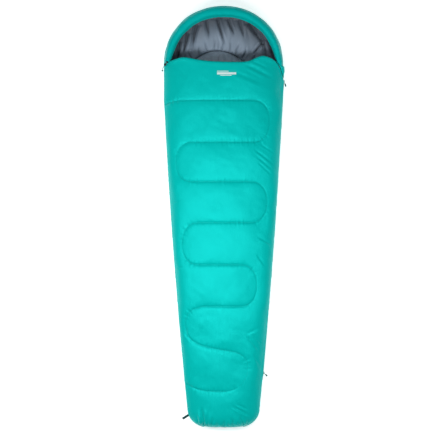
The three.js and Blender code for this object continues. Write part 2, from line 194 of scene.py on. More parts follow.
def pillow(name, outer, inner, uv, materials, shade, wrap=None, under=0.0):
    """A closed padded sheet: two grids that meet at their borders. wrap marks inner cells that keep
    the outer material; under is the painted shade of the inner side."""
    rows, cols = outer.shape[:2]
    index = grid_index(rows, cols)
    inside = np.zeros((rows, cols), bool)
    inside[1:-1, 1:-1] = True
    below = index.copy()
    below[inside] = rows * cols + np.arange(inside.sum())
    points = np.concatenate([outer.reshape(-1, 3), inner[inside]])
    uvs = np.concatenate([uv.reshape(-1, 2), uv[inside]])
    top, back_side = grid_faces(index), grid_faces(below)[:, ::-1]
    slots = np.zeros(len(top) + len(back_side), np.int32)
    lining = np.ones((rows - 1, cols - 1), bool) if wrap is None else ~wrap[:-1, :-1]
    slots[len(top):] = lining.ravel()
    dark = np.concatenate([shade.ravel(), np.broadcast_to(under, shade.shape)[inside]])
    return make_object(name, points, np.concatenate([top, back_side]), materials, slots, uvs, dark)


def ring_mesh(name, rings, materials, slots=None, uv=None, shade=None):
    """Closed rings of points joined into one solid, with a flat face over each end."""
    index = grid_index(*rings.shape[:2], closed=True)
    faces = grid_faces(index).tolist() + [index[0, :-1].tolist(), index[-1, :-1].tolist()[::-1]]
    if slots is not None:
        slots = list(slots) + [0, 0]
    return make_object(name, rings.reshape(-1, 3), faces, materials, slots, uv, shade)


def grid_normals(p):
    return unit(np.cross(np.gradient(p, axis=1), np.gradient(p, axis=0)))


def sheet_normals(p, way):
    """Normals that point up (way 1) or down (way -1) in the middle of a sheet."""
    normal = grid_normals(p)
    return way * normal * np.sign(normal[len(normal) // 2, normal.shape[1] // 2, 2])


def lengths(p, axis):
    step = np.linalg.norm(np.diff(p, axis=axis), axis=-1)
    total = np.cumsum(step, axis=axis)
    pad = np.zeros_like(np.take(total, [0], axis=axis))
    return np.concatenate([pad, total], axis=axis)


def path_lengths(path):
    """Distance along a path at each of its points."""
    return lengths(path[None], 1)[0]


def cloth_uv(across, along):
    """A pair for each point of a grid, from distances over the cloth in millimetres."""
    return np.stack(np.broadcast_arrays(across, along), axis=-1) * MM


def pinch(distance, radius):
    """1 at a border, falling along a quarter circle to 0 at the radius."""
    t = 1 - np.clip(distance / radius, 0, 1)
    return 1 - np.sqrt(np.maximum(0, 1 - t * t))


def to_borders(sheet):
    """Distance over the cloth from each point to the right, left, lower and upper border of a sheet."""
    across, upward = lengths(sheet, 1), lengths(sheet, 0)
    return across, across[:, -1:] - across, upward, upward[-1:] - upward


def pinch_borders(borders, radii, depths=(1, 1, 1, 1)):
    """The deepest pinch of a sheet's four borders at each point."""
    return np.maximum.reduce([depth * pinch(b, radius) for b, radius, depth in zip(borders, radii, depths)])


def inner_side(base, outer, normal, depth):
    """The lining's side of a padded sheet: depth below base, and sewn to the outer side all round."""
    inner = base - normal * depth[..., None]
    inner[0], inner[-1], inner[:, 0], inner[:, -1] = outer[0], outer[-1], outer[:, 0], outer[:, -1]
    return inner


def round_ends(to_end, radius):
    """Share of a tube's radius that is left near a half-round end."""
    return np.sqrt(1 - np.clip(1 - to_end / radius, 0, 1) ** 2)


def spline(points, count):
    """A Catmull-Rom curve through the points, resampled to even steps."""
    p = np.asarray(points, float)
    p = np.concatenate([2 * p[:1] - p[1:2], p, 2 * p[-1:] - p[-2:-1]])
    t = np.linspace(0, 1, 16, endpoint=False)[:, None]
    parts = []
    for a, b, c, d in zip(p[:-3], p[1:-2], p[2:-1], p[3:]):
        parts.append(0.5 * (2 * b + (c - a) * t + (2 * a - 5 * b + 4 * c - d) * t**2
                            + (3 * b - a - 3 * c + d) * t**3))
    dense = np.concatenate(parts + [p[-2:-1]])
    along = path_lengths(dense)
    at = np.linspace(0, along[-1], count)
    return np.stack([np.interp(at, along, dense[:, k]) for k in range(p.shape[1])], axis=1)


def tube_rings(path, radius, sides):
    """Rings round a path; radius may be a number or one value a point."""
    path = np.asarray(path, float)
    tangent = unit(np.gradient(path, axis=0))
    radius = np.broadcast_to(radius, len(path))
    across = np.cross(tangent[0], (0, 0, 1))
    if np.linalg.norm(across) < 0.1:
        across = np.cross(tangent[0], (1, 0, 0))
    rings = []
    angle = full_turn(sides)
    for point, t, r in zip(path, tangent, radius):
        across = unit(across - t * across.dot(t))
        other = np.cross(t, across)
        rings.append(point + r * (np.outer(np.cos(angle), across) + np.outer(np.sin(angle), other)))
    return np.array(rings)


# ---- materials ----
def linear(*srgb):
    out = [(c / 255 / 12.92) if c / 255 <= 0.04045 else ((c / 255 + 0.055) / 1.055) ** 2.4 for c in srgb]
    return (*out, 1)


class Paint:
    """A node material with a Principled shader, and short calls for the nodes that feed it."""

    def __init__(self, name, **settings):
        self.material = bpy.data.materials.new(name)
        self.material.use_nodes = True
        self.tree = self.material.node_tree
        self.shader = self.tree.nodes["Principled BSDF"]
        for key, value in settings.items():
            self.shader.inputs[key.replace("_", " ")].default_value = value

    def node(self, kind, inputs=None, **attributes):
        n = self.tree.nodes.new(kind)
        for key, value in attributes.items():
            setattr(n, key, value)
        for key, value in (inputs or {}).items():
            if isinstance(value, bpy.types.NodeSocket):
                self.tree.links.new(value, n.inputs[key])
            else:
                n.inputs[key].default_value = value
        return n

    def maths(self, operation, a, b=0.0, c=0.0):
        return self.node("ShaderNodeMath", {0: a, 1: b, 2: c}, operation=operation).outputs[0]

    def scale(self, vector, size):
        return self.node("ShaderNodeMapping", {"Vector": vector, "Scale": size}).outputs[0]

    def noise(self, vector, scale, detail=2.0, rough=0.5):
        inputs = {"Vector": vector, "Scale": scale, "Detail": detail, "Roughness": rough}
        return self.node("ShaderNodeTexNoise", inputs).outputs[0]

    def blend(self, factor, a, b):
        n = self.node("ShaderNodeMix", {0: factor, 6: a, 7: b}, data_type="RGBA")
        return n.outputs[2]

    def bump(self, height, strength, distance, normal=None):
        inputs = {"Height": height, "Strength": strength, "Distance": distance}
        if normal is not None:
            inputs["Normal"] = normal
        return self.node("ShaderNodeBump", inputs).outputs[0]

    def to(self, socket, value):
        self.tree.links.new(value, self.shader.inputs[socket])


# ---- camera and light ----
def set_camera():
    """Straight above the bag, with a long lens."""
    middle = Vector((0.0025, -0.0357, 0.09))
    lens, sensor, seen = 135.0, 36.0, 2.288
    camera = bpy.data.cameras.new("camera")
    camera.lens, camera.sensor_width = lens, sensor
    camera.clip_end = 100
    obj = add_object("camera", camera)
    obj.location = middle + Vector((0, 0, seen * lens / sensor))
    bpy.context.scene.camera = obj


def area_light(name, place, target, size, power_w):
    light = bpy.data.lights.new(name, "AREA")
    light.shape, light.energy = "RECTANGLE", power_w
    light.size, light.size_y = size
    obj = add_object(name, light)
    obj.location = place
    obj.rotation_euler = (Vector(target) - Vector(place)).to_track_quat("-Z", "Y").to_euler()
    obj.visible_camera = False


def set_studio():
    """A pale floor that glows a little, a long soft key light over the bag, and a weak fill at its head."""
    scene = bpy.context.scene
    scene.view_settings.view_transform = "Standard"
    scene.world = bpy.data.worlds.new("studio")
    scene.world.use_nodes = True
    background = scene.world.node_tree.nodes["Background"].inputs
    background["Color"].default_value = (1, 1, 1, 1)
    background["Strength"].default_value = 0.19
    area_light("key", (-0.34, -0.27, 2.5), (0, -0.27, 0.05), (0.45, 3.1), 56)
    area_light("fill", (-1.3, 2.2, 3.0), (0, 0.4, 0.05), (1.6, 1.6), 8)
    mesh = bpy.data.meshes.new("floor")
    half = 9.0
    corners = [(-half, -half, 0), (half, -half, 0), (half, half, 0), (-half, half, 0)]
    mesh.from_pydata(corners, [], [(0, 1, 2, 3)])
    paint = Paint("floor_paint", Base_Color=(0.93, 0.93, 0.93, 1), Roughness=0.9, Specular_IOR_Level=0.1,
                  Emission_Color=(1, 1, 1, 1), Emission_Strength=0.66)
    mesh.materials.append(paint.material)
    floor = add_object("floor", mesh)
    floor.location.z = -0.0005


set_camera()
set_studio()


# ---- cloth, print and hard parts ----
def woven(name, color, shade, thread=0.0006, rough=0.5, sheen=0.0, gloss=0.15, tint=(1, 1, 1, 1), bump=0.25):
    """Plain-weave cloth: crossing threads, uneven colour, and painted shade: darker cloth where the mesh's
    shade attribute is high.
    """
    p = Paint(name, Roughness=rough, Sheen_Weight=sheen, Specular_IOR_Level=gloss, Specular_Tint=tint)
    uv = p.node("ShaderNodeUVMap", uv_map="cloth").outputs[0]
    place = p.node("ShaderNodeTexCoord").outputs["Object"]
    turns = 1 / thread * math.pi
    split = p.node("ShaderNodeSeparateXYZ", {0: uv}).outputs
    warp, weft = (p.maths("SINE", p.maths("MULTIPLY", way, turns)) for way in split[:2])
    weave = p.maths("MULTIPLY", warp, weft)
    cloud = p.noise(place, 9.0, 3.0, 0.6)
    slub = p.noise(p.scale(uv, (900.0, 60.0, 1.0)), 1.0, 2.0, 0.6)
    tone = p.maths("MULTIPLY_ADD", p.maths("ADD", cloud, p.maths("MULTIPLY", slub, 0.35)), 0.3, -0.15)
    weave_tone = p.maths("MULTIPLY_ADD", weave, 0.06, tone)
    # painted shade: the shade attribute darkens the cloth towards a quarter of its colour
    painted_shade_amount = p.node("ShaderNodeAttribute", attribute_name="shade").outputs["Fac"]
    clean = p.blend(weave_tone, color, shade)
    p.to("Base Color", p.blend(painted_shade_amount, clean, tuple(c * 0.25 for c in color[:3]) + (1,)))
    fine = p.bump(weave, bump, thread * 0.4)
    crumple = p.noise(p.scale(place, (1.0, 0.6, 1.0)), 26.0, 4.0, 0.62)
    p.to("Normal", p.bump(crumple, 0.25, 0.006, fine))
    p.to("Roughness", p.maths("MULTIPLY_ADD", slub, 0.12, rough - 0.06))
    return p.material


def printed(name, cloth, ink, bars):
    """Cloth with plain printed bars; each bar is (left, right, bottom, top) in metres."""
    p = Paint(name, Roughness=0.5, Specular_IOR_Level=0.15)
    uv = p.node("ShaderNodeUVMap", uv_map="cloth").outputs[0]
    split = p.node("ShaderNodeSeparateXYZ", {0: uv}).outputs
    mask = 0.0
    for left, right, bottom, top in bars:
        part = p.maths("GREATER_THAN", split[0], left)
        part = p.maths("MULTIPLY", part, p.maths("LESS_THAN", split[0], right))
        part = p.maths("MULTIPLY", part, p.maths("GREATER_THAN", split[1], bottom))
        part = p.maths("MULTIPLY", part, p.maths("LESS_THAN", split[1], top))
        mask = p.maths("MAXIMUM", part, mask)
    grain = p.noise(uv, 1500.0, 2.0)
    worn = p.maths("MULTIPLY", mask, p.maths("MULTIPLY_ADD", grain, 0.3, 0.62))
    p.to("Base Color", p.blend(worn, cloth, ink))
    p.to("Normal", p.bump(grain, 0.2, 0.0002))
    return p.material


def moulded(name, color, rough, metallic=0.0, worn=None, wear=0.0):
    """Hard parts: fine grain, and wear where the surface noise is high."""
    p = Paint(name, Metallic=metallic, Specular_IOR_Level=0.5)
    place = p.node("ShaderNodeTexCoord").outputs["Object"]
    grain = p.noise(place, 1800.0, 2.0)
    patch = p.noise(place, 240.0, 4.0, 0.7)
    high = p.maths("MULTIPLY", p.maths("SUBTRACT", patch, 0.55), 6.0)
    mask = p.node("ShaderNodeClamp", {"Value": p.maths("MULTIPLY", high, wear)}).outputs[0]
    p.to("Base Color", p.blend(mask, color, worn or color))
    p.to("Roughness", p.maths("MULTIPLY_ADD", grain, 0.2, rough - 0.1))
    p.to("Normal", p.bump(grain, 0.12, 0.0001))
    return p.material


TEAL, TEAL_SHADE = linear(0, 191, 184), linear(0, 174, 166)
# painted shade: the hood's cloth is the shell's teal painted darker, for the hood's steeper rim
HOOD_TEAL_SHADED, HOOD_TONE_SHADED = linear(0, 180, 176), linear(0, 164, 160)
SLATE, SLATE_SHADE = linear(154, 172, 191), linear(128, 144, 162)
GLEAM = (0.03, 1, 0.96, 1)  # nylon throws its own colour back
shell_cloth = woven("shell_cloth", TEAL, TEAL_SHADE, rough=0.34, gloss=0.9, tint=GLEAM)
shaded_hood_cloth = woven("shaded_hood_cloth", HOOD_TEAL_SHADED, HOOD_TONE_SHADED, rough=0.45, gloss=0.4, tint=GLEAM)
lining_cloth = woven("lining_cloth", SLATE, SLATE_SHADE, rough=0.45, sheen=0.1, gloss=0.25)
LIT_SLATE, LIT_SLATE_SHADE = linear(180, 198, 216), linear(156, 172, 190)  # painted light: a paler copy of the lining cloth for the back, so its lining near the neck looks lit where the chest edge shades it
lit_back_lining_cloth = woven("lit_back_lining_cloth", LIT_SLATE, LIT_SLATE_SHADE, rough=0.45, sheen=0.1, gloss=0.25)
tape_cloth = woven("tape_cloth", linear(30, 58, 62), linear(20, 42, 46), thread=0.0009, bump=0.5)
coil_nylon = moulded("coil_nylon", linear(24, 46, 50), 0.4)
webbing_cloth = woven("webbing_cloth", linear(34, 78, 80), linear(22, 46, 48), thread=0.0016, bump=0.8)
zip_metal = moulded("zip_metal", linear(44, 48, 52), 0.4, 0.9, linear(150, 152, 155), 0.5)
hard_plastic = moulded("hard_plastic", linear(26, 28, 30), 0.45)
grip_rubber = moulded("grip_rubber", linear(14, 34, 36), 0.65)
spring_wire = moulded("spring_wire", linear(190, 194, 200), 0.3, 1.0)
PRINT_BARS = [(0.0, 0.06, 0.0226, 0.0260), (0.0, 0.098, 0.0080, 0.0186), (0.018, 0.074, 0.0010, 0.0052)]
print_cloth = printed("print_cloth", TEAL, linear(250, 255, 255), PRINT_BARS)
thread_cloth = woven("thread_cloth", linear(4, 150, 144), linear(2, 120, 116), bump=0.1)
cord_cloth = woven("cord_cloth", linear(120, 134, 136), linear(84, 96, 98), thread=0.0012, bump=0.8)


# ---- drawcord and its bead ----
CORD_RADIUS = 1.5
CORD_ROUTE = [  # from the eyelet through the lock and down to the bead
    (-286.5, 789.5, 118.5), (-288.4, 786.8, 122), (-291, 783.2, 123), (-294, 779.1, 123),
    (-297, 775, 123), (-300, 770.9, 123), (-303, 766.8, 123), (-305.8, 763, 122.6), (-308.4, 759.4, 120),
    (-310.4, 756.4, 114.5), (-311.6, 754, 107.5), (-312.3, 752, 100), (-312.8, 750.3, 92), (-313, 749, 84),
]
BRAID_PITCH = 2.2
BEAD_PROFILE = [(0.3, -4.6), (2.6, -4.3), (4.2, -2.6), (4.5, -0.4), (4.1, 0.4), (4.5, 1.2), (3.8, 3.2),
                (2.4, 4.4), (0.3, 4.6)]  # radius and height


def make_bead():
    """The round bead on the drawcord's end, with a groove round its middle."""
    low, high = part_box("cord_end_bead")
    profile = spline(BEAD_PROFILE, 26)
    turn = full_turn(32)
    rings = np.stack([np.outer(profile[:, 0], np.cos(turn)), np.outer(profile[:, 0], np.sin(turn)),
                      np.repeat(profile[:, 1:], len(turn), axis=1)], axis=-1)
    bead = ring_mesh("cord_bead", rings + np.array((low + high) / 2) / MM, [hard_plastic])
    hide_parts("cord_end_bead")
    return bead


def make_drawcord():
    path = spline(CORD_ROUTE, 60)
    angle = full_turn(16)
    rings = tube_rings(path, CORD_RADIUS, 16)
    along = path_lengths(path)
    wind = along[:, None] * 2 * np.pi / BRAID_PITCH
    braid = 0.09 * np.cos(wind + 4 * angle) * np.cos(wind - 4 * angle)
    rings = rings + unit(rings - path[:, None]) * braid[..., None]
    cord = ring_mesh("drawcord", rings, [cord_cloth], uv=cloth_uv(angle * CORD_RADIUS, along[:, None]))
    bead = make_bead()
    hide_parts("drawcord_end")
    for piece, name in ((cord, "cord"), (bead, "hard_plastic")):
        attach(piece, "bag")


make_drawcord()


# ---- sections of the body ----
ROW_STEP, FINE_BAND = 4.2, 22  # mm between cross-sections, and the band at the top where they are closer
FOOT_RISE_LOST, FOOT_DROP_LOST = 0.55, 0.5  # how far the section closes at the foot panel
BORDER = np.array([0, 0.6, 1.4, 2.6, 4.2, 6.2, 8.6, 11.4])  # columns close to an edge, mm


def body_rows(edge_y):
    """Nominal y, half width, rise and drop of each cross-section, from the foot end up."""
    angle = np.radians(np.linspace(90, 0, 26, endpoint=False))
    closing = 1 - np.cos(angle)
    foot = np.stack([
        FOOT_JOIN - FOOT_CORNER * np.sin(angle),
        FOOT_HALF - FOOT_CORNER + FOOT_CORNER * np.cos(angle),
        (FOOT_HEIGHT - SIDE_Z) * (1 - FOOT_RISE_LOST * closing**2),
        SIDE_Z * (1 - FOOT_DROP_LOST * closing**3),
    ])
    fine_y = edge_y - FINE_BAND
    y = np.concatenate([np.arange(FOOT_JOIN, fine_y, ROW_STEP), np.linspace(fine_y, edge_y, 13)])
    body = np.stack([y, half_at(y), height_at(y) - SIDE_Z, np.full_like(y, SIDE_Z)])
    return np.concatenate([foot, body], axis=1)


def even_columns(section, count):
    """Each row of a dense section resampled along its length, with close columns at both borders."""
    out = np.empty((len(section), count + 2 * len(BORDER), section.shape[2]))
    for i, row in enumerate(section):
        along = path_lengths(row[:, :2])
        total, last = along[-1], BORDER[-1] + 4
        at = np.concatenate([BORDER, np.linspace(last, total - last, count), total - BORDER[::-1]])
        out[i] = np.stack([np.interp(at, along, row[:, k]) for k in range(row.shape[1])], axis=1)
    return out


def side_shape(x, z, half, seam_x, seam_z, fullness):
    """Fullness beside the side seam, and the tuck down to the seam itself."""
    outer = np.abs(x) > 0.5 * half
    full = fullness * bell(np.abs(z - SIDE_Z) - 22, 16) * outer
    drawn_in = (half + 1 - np.abs(seam_x)) * bell(z - seam_z, 8.0) * outer
    return np.sign(x) * (np.abs(x) + full - drawn_in)


def zip_share(y):
    """1 beside the zip, 0 beyond its lower end."""
    return smooth((y - ZIP_FADE_Y) / ZIP_FADE_RUN)


def seam_line(y, half, right, way):
    """Distance from the middle, and height, of a side border: the front's (way 1) or the back's (way -1).
    Beside the zip the right border runs over to it."""
    share = zip_share(y) * right
    x = mix(half - SEAM_INSET, zip_x(y) + ZIP_OUTSIDE, share)
    return x, mix(SIDE_Z + way * SEAM_GAP, SIDE_Z + way * ZIP_GAP, share)


def front_section(rows):
    """Grid of the front's outer surface, from the zip over to the left seam."""
    y, half, rise, _ = (r[:, None] for r in rows)
    angle = np.linspace(0, np.pi, 500)[None]
    dome_x = half * power(np.cos(angle), SECTION_EASE)
    right = dome_x > 0
    z = SIDE_Z + SEAM_GAP + (rise - SEAM_GAP) * power(np.sin(angle), SECTION_EASE)
    z = z + right * (ZIP_GAP - SEAM_GAP) * zip_share(y) * (1 - np.sin(angle)) ** 3
    x = side_shape(dome_x, z, half, *seam_line(y, half, right, 1), 3.5)
    cols = even_columns(np.stack(np.broadcast_arrays(x, z, dome_x), axis=-1), 170)
    x, z, dome_x = cols[..., 0], cols[..., 1], cols[..., 2]
    lift = smooth((rows[0] - FRONT_LIFT_Y) / (CHEST_EDGE_Y - FRONT_LIFT_Y))[:, None]
    y = rows[0][:, None] + (chest_edge(dome_x) - CHEST_EDGE_Y) * lift
    return np.stack([x, y, z], axis=-1)


# the chest edge from the left side over two low humps to the gap beside the right shoulder
EDGE_POINTS = np.array([
    (-310, 772), (-296, 784), (-278, 795), (-240, 806), (-202, 812), (-150, 803), (-80, 792),
    (0, 788), (60, 787), (104, 788), (136, 794), (168, 809), (202, 819), (240, 811),
    (266, 795), (280, 780), (289, 760), (297, 732), (305, 706), (308, 702),
])


def chest_edge(x):
    curve = spline(EDGE_POINTS, 300)
    order = np.argsort(curve[:, 0])
    return np.interp(x, curve[order, 0], curve[order, 1])


def gap_x(y):
    """x of the gap between the front and the right shoulder."""
    curve = spline(EDGE_POINTS[-7:], 80)[::-1]
    return np.interp(y, curve[:, 1], curve[:, 0])


# ---- quilting: one serpentine run of stitches down the front ----
LINE_Y = [592, 380, 179, -29, -243, -455]
TURN_X = [234, -243, 222, -212, 170]
TURN_WIDE, TURN_SQUARE = 88, 0.85
LOWER_RUN = [
    (-120, -459), (-165, -476), (-190, -510), (-197, -552), (-187, -592), (-160, -628), (-122, -649),
    (-62, -665), (7, -677), (60, -687), (97, -706), (117, -732), (124, -765), (118, -805), (98, -845),
    (62, -872), (20, -885), (-69, -886), (-124, -878), (-172, -862), (-190, -850),
]
FAINT_BELOW, FAINT_RIGHT_OF = -770, 40  # the last turn, where the stitching hardly pulls


def quilt_line():
    """Plan of the stitching in millimetres, at even steps."""
    points = [(-298, 573), (-270, 583), (-230, 590)]
    for reach, top, low in zip(TURN_X, LINE_Y[:-1], LINE_Y[1:]):
        side = np.sign(reach)
        centre = reach - side * TURN_WIDE
        points += [(x, top) for x in np.linspace(points[-1][0], centre, 14)[1:]]
        for a in np.linspace(0, np.pi, 18)[1:]:
            wide = TURN_WIDE * abs(math.sin(a)) ** TURN_SQUARE
            down = math.copysign(abs(math.cos(a)) ** TURN_SQUARE, math.cos(a))
            points.append((centre + side * wide, mix(top, low, (1 - down) / 2)))
    points += [(x, LINE_Y[-1]) for x in np.linspace(points[-1][0], -100, 10)[1:]]
    return spline(points + LOWER_RUN, 1900)


QUILT = quilt_line()
QUILT_ALONG = path_lengths(QUILT)


def seam_strength(along):
    """Seams across the bag are pulled in hardest, the turns less, and the last turn hardly at all."""
    run = unit(np.gradient(QUILT, axis=0))
    pull = 0.24 + 0.76 * np.abs(run[:, 0]) ** 1.5
    faint = (QUILT[:, 1] < FAINT_BELOW) & (QUILT[:, 0] > FAINT_RIGHT_OF)
    pull = np.where(faint, 0.08, pull)
    reach = 20  # points averaged on each side
    window = np.ones(2 * reach + 1) / (2 * reach + 1)
    pull = np.convolve(np.pad(pull, reach, mode="edge"), window, mode="valid")
    return np.interp(along, QUILT_ALONG, pull)


def quilt_distance(x, y):
    """Distance in plan from the quilting line, and the place along it."""
    tree = kdtree.KDTree(len(QUILT))
    for i, (a, b) in enumerate(QUILT):
        tree.insert((a, b, 0), i)
    tree.balance()
    found = [tree.find((a, b, 0)) for a, b in zip(x.ravel(), y.ravel())]
    distance = np.array([f[2] for f in found]).reshape(x.shape)
    along = QUILT_ALONG[np.array([f[1] for f in found])].reshape(x.shape)
    return distance, along


def crease_frame(x, y, start, end):
    """How far along and across a line from start to end each point lies, and the line's length."""
    run = np.array(end, float) - start
    size = np.hypot(*run)
    x, y = x - start[0], y - start[1]
    return (x * run[0] + y * run[1]) / size**2, (x * run[1] - y * run[0]) / size, size


def fold(x, y, start, end, depth, width):
    """A soft crease from start to end, deepest in its middle, with a raised lip on one side."""
    t, across, _ = crease_frame(x, y, start, end)
    ends = smooth(t / 0.35) * smooth((1 - t) / 0.35)
    return depth * ends * (0.7 * bell(across - 1.1 * width, width) - bell(across, width))


def tuck(x, y, start, end, depth, width, bend=0.0):
    """A sharp crease between two puffs, deepest where it leaves the seam at its start."""
    t, across, size = crease_frame(x, y, start, end)
    across = across + bend * size * t * (1 - t) + 1.5 * np.sin(7 * t + start[0])
    ends = smooth(t / 0.06) * smooth((1 - t) / 0.6)
    sharp = np.exp(-np.abs(across) / width)
    return depth * ends * (0.35 * bell(np.abs(across) - 3 * width, 1.6 * width) - sharp)


# ---- cloth simulation ----
def blurred(grid, passes):
    """Each value averaged with its neighbours, again and again; borders keep still."""
    for _ in range(passes):
        grid[1:-1] = (grid[:-2] + 2 * grid[1:-1] + grid[2:]) / 4
        grid[:, 1:-1] = (grid[:, :-2] + 2 * grid[:, 1:-1] + grid[:, 2:]) / 4
    return grid


def simulate(points, pinned, pressure, slack, frames, cap):
    """How far a sheet billows when its pinned points hold it down: one displacement for each point."""
    faces = grid_faces(grid_index(*points.shape[:2]))
    obj = make_object("sim", points.reshape(-1, 3), faces, [], closed=False)
    group = obj.vertex_groups.new(name="pin")
    group.add(np.flatnonzero(pinned.ravel()).tolist(), 1.0, "REPLACE")
    cloth = obj.modifiers.new("cloth", "CLOTH")
    s = cloth.settings
    s.quality = 6
    s.mass = 0.2
    s.tension_stiffness, s.compression_stiffness = 20, 12
    s.shear_stiffness, s.bending_stiffness = 6, 1.5
    s.tension_damping = s.compression_damping = 8
    s.air_damping = 3
    s.use_pressure, s.uniform_pressure_force = True, pressure
    s.effector_weights.gravity = 0
    s.shrink_min = -slack
    s.vertex_group_mass, s.pin_stiffness = "pin", 1
    cloth.collision_settings.use_collision = False
    cloth.point_cache.frame_start, cloth.point_cache.frame_end = 1, frames
    scene = bpy.context.scene
    for f in range(1, frames + 1):
        scene.frame_set(f)
    found = obj.evaluated_get(bpy.context.evaluated_depsgraph_get()).to_mesh()
    co = np.empty(len(found.vertices) * 3, np.float32)
    found.vertices.foreach_get("co", co)
    scene.frame_set(1)
    bpy.data.objects.remove(obj)
    moved = co.reshape(points.shape) / MM - points
    far = np.linalg.norm(moved, axis=-1, keepdims=True)
    return moved * np.minimum(1, cap / np.maximum(far, 1e-6))


def stretch(small, shape):
    """A coarse grid of values brought to a finer grid's size."""
    rows = np.linspace(0, small.shape[0] - 1, shape[0])
    cols = np.linspace(0, small.shape[1] - 1, shape[1])
    i = np.clip(rows.astype(int), 0, small.shape[0] - 2)
    j = np.clip(cols.astype(int), 0, small.shape[1] - 2)
    a, b = (rows - i)[:, None, None], (cols - j)[None, :, None]
    near, far = (row[:, j] * (1 - b) + row[:, j + 1] * b for row in (small[i], small[i + 1]))
    return near * (1 - a) + far * a


# ---- front ----
FRONT_FOLDS = [  # start, end, depth and width of the creases
    ((148, 350), (266, 258), 1.9, 7), ((158, 316), (262, 226), 1.6, 7), ((176, 376), (266, 318), 1.3, 6),
    ((168, 285), (250, 205), 1.2, 6), ((165, -98), (250, -146), 2.6, 6), ((162, -182), (212, -255), 2.4, 6),
    ((92, 780), (262, 700), 2.8, 10), ((128, 796), (232, 752), 1.8, 7), ((30, 742), (200, 672), 1.8, 12),
    ((-262, 772), (-180, 700), 1.8, 12), ((36, -958), (142, -1018), 5.0, 7),
    ((60, -950), (128, -982), 3.0, 6), ((-286, 60), (-200, 96), 1.2, 7),
    ((-262, -270), (-200, -250), 1.2, 7), ((110, -600), (190, -560), 1.8, 8),
    ((-205, -590), (-160, -640), 2.2, 6), ((-190, -610), (-186, -560), 1.6, 5),
    ((150, -700), (186, -760), 1.8, 7), ((110, -598), (184, -684), 2.8, 6),
    ((134, -590), (198, -652), 2.2, 5),
]
FOOT_TUCKS = [  # start at the foot seam, end, depth and width
    ((-126, -1064), (-138, -1002), 4, 4), ((-104, -1070), (-112, -958), 11, 6),
    ((-84, -1070), (-82, -984), 6, 5), ((-62, -1070), (-52, -1006), 4, 4),
    ((-34, -1070), (-30, -1036), 3, 4), ((2, -1070), (6, -1024), 4, 5),
    ((30, -1070), (22, -1040), 3, 3), ((52, -1070), (40, -1012), 6, 5),
    ((80, -1068), (72, -1034), 3, 3), ((104, -1066), (84, -1006), 6, 5), ((126, -1060), (120, -1030), 3, 4),
]
SUNK = 4  # how far the panels start below the outer surface
PIN_WITHIN, PIN_ABOVE = 6.5, 0.16  # a point is pinned this near the stitching, where it pulls this hard
FADE, CLOSE = 34, 14  # widths at the borders over which relief fades and the wall closes


def front_relief(x, y, distance, along):
    """Seam groove, puckers across it, listed folds and slow unevenness, in millimetres."""
    turns = along * 2 * np.pi
    wander = waves(3, 8, 120, 400)(along, 0 * along)
    ripple = np.cos(turns / 23 + 2.6 * wander) + 0.6 * np.cos(turns / 13.7 + 3.1 * wander)
    lively = 0.55 + 0.45 * waves(5, 6, 90, 260)(along, 0 * along)
    groove = -3.2 * bell(distance, 3.8) - 1.2 * bell(distance, 16)
    pucker = 0.85 * lively * ripple * bell(distance - 8, 10)
    relief = (groove + pucker) * seam_strength(along)
    relief = relief + 1.0 * waves(11, 22, 110, 420)(x, y) + 0.22 * waves(12, 26, 35, 110)(x, y)
    for crease in FRONT_FOLDS:
        relief = relief + fold(x, y, *crease)
    for crease in FOOT_TUCKS:
        relief = relief + tuck(x, y, *crease)
    return relief


def billow(base, normal, distance, along):
    """How far the front's panels stand out along their normals once the simulation has filled them."""
    step = 2
    strength = seam_strength(along)
    held = (distance < PIN_WITHIN)[::step, ::step] & (strength > PIN_ABOVE)[::step, ::step]
    held[0] = held[-1] = True
    held[:, :2] = held[:, -2:] = True
    start = base[::step, ::step] - SUNK * normal[::step, ::step]
    moved = simulate(start, held, pressure=3.0, slack=0.002, frames=20, cap=13.0)
    calm = blurred(moved.copy(), 10)
    level = stretch(blurred(moved.copy(), 160), base.shape)
    moved = stretch(mix(calm, moved, 0.3), base.shape)
    ease = 0.3 + 0.4 * (1 - strength) * bell(distance, 60)
    return (mix(moved, level, ease[..., None]) * normal).sum(-1)


def make_front():
    base = front_section(body_rows(CHEST_EDGE_Y))
    normal = sheet_normals(base, 1)
    x, y = base[..., 0], base[..., 1]
    distance, along = quilt_distance(x, y)
    borders = right, left, foot, chest = to_borders(base)
    edge = np.minimum.reduce(borders)
    puff = billow(base, normal, distance, along)
    sides = np.minimum.reduce([left, right, chest])
    detail = front_relief(x, y, distance, along) * smooth(sides / FADE) * smooth(foot / 12)
    relief = (puff - SUNK) * smooth(edge / FADE) + detail
    drop = pinch_borders(borders, (10, 12, 12, 14), (3, 4, 5, 13))
    outer = base + normal * (relief - drop)[..., None]
    close = pinch_borders(borders, (CLOSE, CLOSE, CLOSE, CLOSE))
    soft = 1.6 * waves(21, 26, 60, 220)(x, y) + 0.8 * waves(22, 26, 25, 60)(x, y)
    thick = WALL + (soft - 3 * bell(distance, 6)) * smooth(edge / 40)
    inner = inner_side(base, outer, normal, mix(thick, drop, close))
    # painted shade: darker cloth in the quilting groove, along the chest edge and beside the side seams
    side_seam_shade = 0.25 * np.maximum(pinch(left, 7), pinch(right, 7))
    shade = 0.27 * bell(distance, 3.0) * seam_strength(along) ** 2 + 0.35 * pinch(chest, 6) + side_seam_shade
    cloths = [shell_cloth, lining_cloth]
    piece = pillow("front_quilt", outer, inner, cloth_uv(right, foot), cloths, shade, wrap=chest < 26)
    layers = ("front_shell", "front_insulation", "front_lining", "chest_hem")
    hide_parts(*[f"{layer}_{part}" for layer in layers for part in ("fixed", "flap")])
    return piece, outer, normal


# ---- back ----
NECK_X, NECK_HALF, NECK_BOW = -30, 150, 76  # middle, half width and height of the neck seam's bow


def neck_seam(x):
    """y of the seam between the back and the hood: a curve that bows up towards the head."""
    t = np.clip((x - NECK_X) / NECK_HALF, -1, 1)
    return NECK_Y + NECK_BOW * np.cos(t * np.pi / 2) ** 0.8


